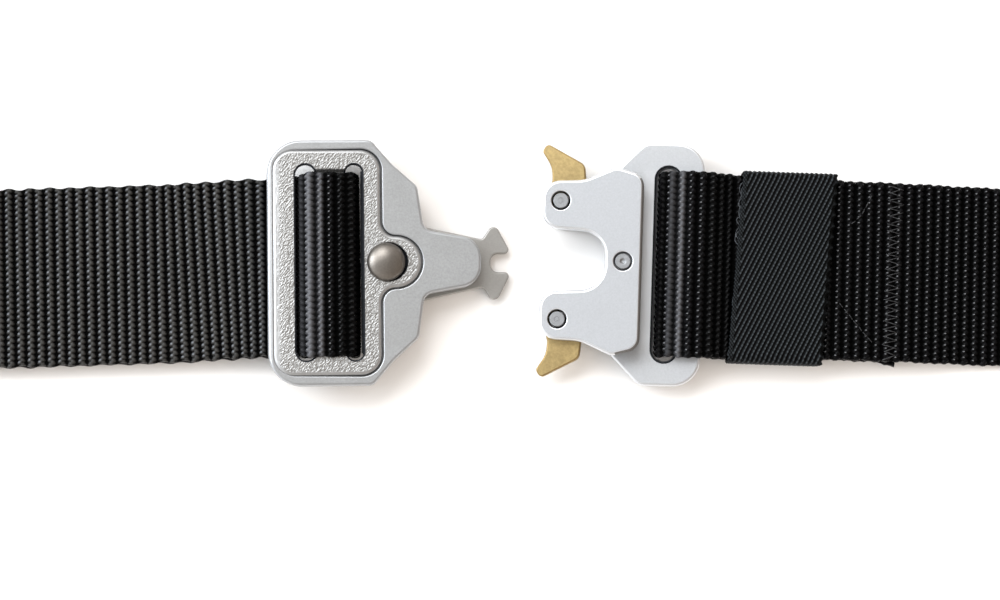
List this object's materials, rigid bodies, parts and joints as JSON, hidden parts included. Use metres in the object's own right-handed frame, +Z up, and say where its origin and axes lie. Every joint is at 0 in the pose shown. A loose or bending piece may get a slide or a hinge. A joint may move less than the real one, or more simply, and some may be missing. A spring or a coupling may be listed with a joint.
{
  "type": "tactical belt",
  "caption": "Webbing waist belt, one whole loop, with a quick-release buckle shown open: tongue half, latch half with sprung levers, and an elastic keeper.",
  "frame": {"origin": "middle of the whole belt's box, on the surface that the belt lies on", "axes": "+X along the front stretch from the tongue half to the latch half, +Y to the back of the loop, +Z up off the surface"},
  "size_m": [0.4544, 0.2276, 0.0381],
  "materials": {
    "webbing": "ribbed black nylon webbing with a soft sheen",
    "elastic": "slate-black twill elastic",
    "alloy_grey": "matte grey, bead blasted",
    "alloy_pebbled": "pebbled bright silver with polished edges",
    "rivet_steel": "polished dome",
    "anchor_steel": "satin steel",
    "alloy_silver": "matte cool silver with bright bevels",
    "rivet_grey": "turned grey steel",
    "lever_brass": "tumbled brass"
  },
  "bodies": {
    "belt": {"webbing_strap": "webbing", "elastic_keeper": "elastic", "male_base_plate": "alloy_grey", "male_insert_frame": "alloy_pebbled", "male_dome_rivet": "rivet_steel", "male_anchor_plate": "anchor_steel", "female_base_plate": "alloy_silver", "female_cover_plate": "alloy_silver", "rivet_upper": "rivet_grey", "rivet_lower": "rivet_grey", "rivet_middle": "rivet_grey"},
    "upper_latch": {"lever_upper": "lever_brass"},
    "lower_latch": {"lever_lower": "lever_brass"}
  },
  "joints": [
    {"name": "upper_latch_pivot", "type": "hinge", "parent": "belt", "child": "upper_latch", "pos_m": [0.01314, -0.07483, 0.00432], "axis": [-0.1027, 0.0035, 0.9947], "range_deg": [0, 12], "stiffness_Nm_per_rad": 0.01, "springref_deg": -2.86},
    {"name": "lower_latch_pivot", "type": "hinge", "parent": "belt", "child": "lower_latch", "pos_m": [0.01229, -0.09972, 0.00432], "axis": [0.1027, -0.0035, -0.9947], "range_deg": [0, 12], "stiffness_Nm_per_rad": 0.01, "springref_deg": -2.86}
  ]
}
